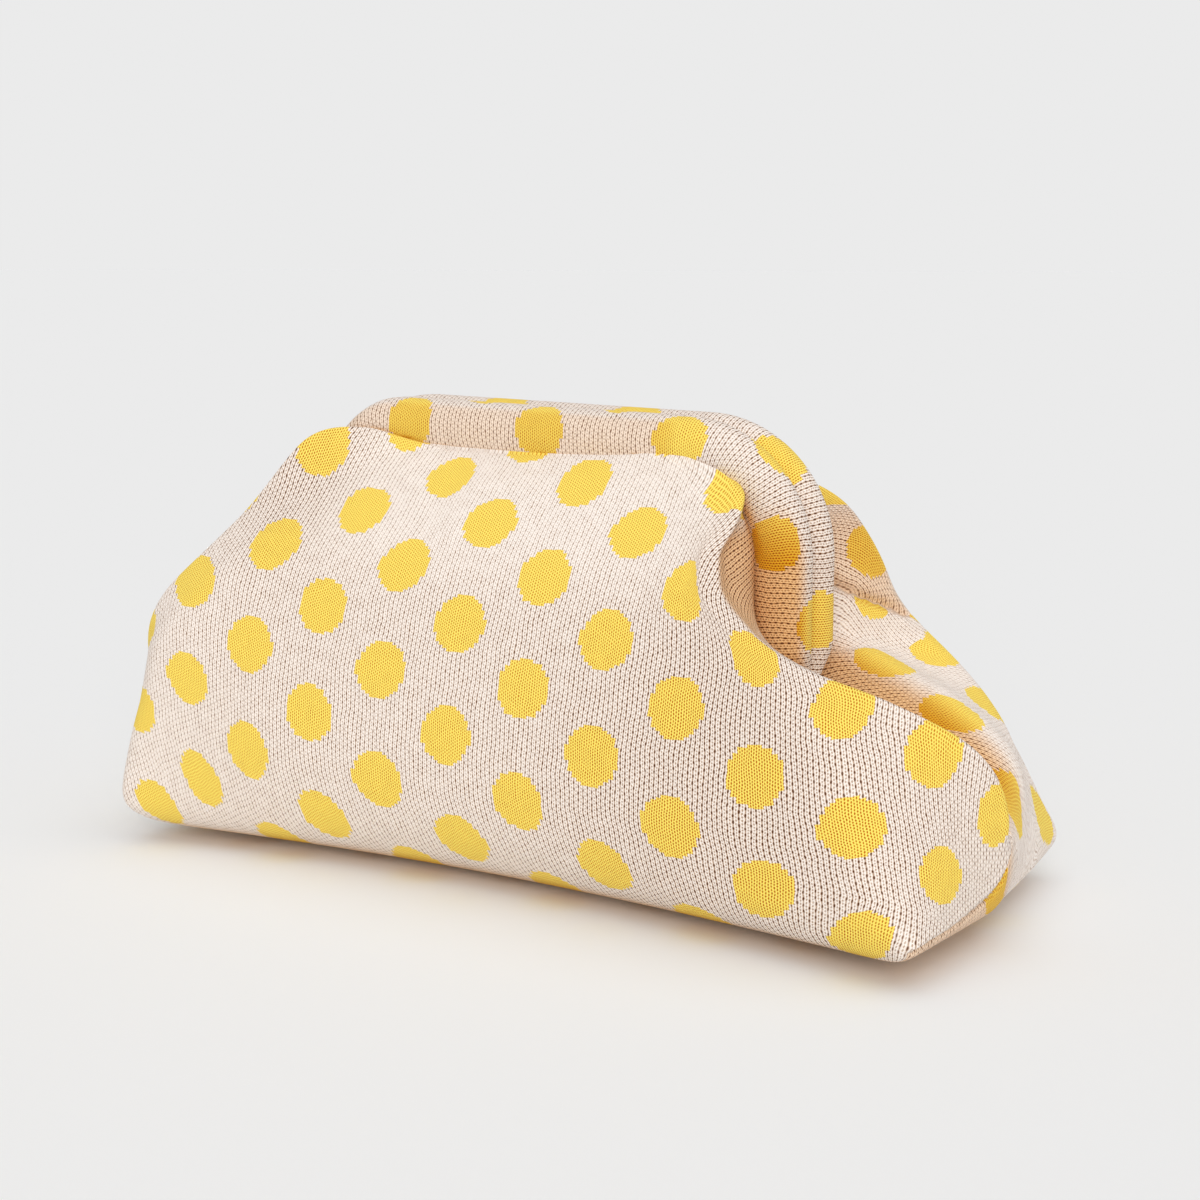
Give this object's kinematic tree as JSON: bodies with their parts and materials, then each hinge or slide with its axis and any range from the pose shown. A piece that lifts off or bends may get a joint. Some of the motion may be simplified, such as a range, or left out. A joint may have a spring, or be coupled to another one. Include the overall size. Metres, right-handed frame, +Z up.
{
  "type": "pouch bag",
  "caption": "Soft knitted dotted pouch bag with a rounded base, draped shoulders and a closed mouth held by a hidden hinged frame in sleeves.",
  "frame": {"origin": "on the ground under the middle of the bag's length and depth", "axes": "+X along the bag's length, -Y out of the front, +Z up"},
  "size_m": [0.3138, 0.146, 0.1571],
  "materials": {
    "knit": "openwork knit in cream with round yellow dots",
    "frame_metal": "plain, hidden"
  },
  "bodies": {
    "root": {"front_panel": "knit", "back_panel": "knit", "front_casing": "knit", "back_casing": "knit", "front_frame": "frame_metal", "back_frame": "frame_metal", "left_hinge": "frame_metal", "right_hinge": "frame_metal"}
  },
  "joints": []
}
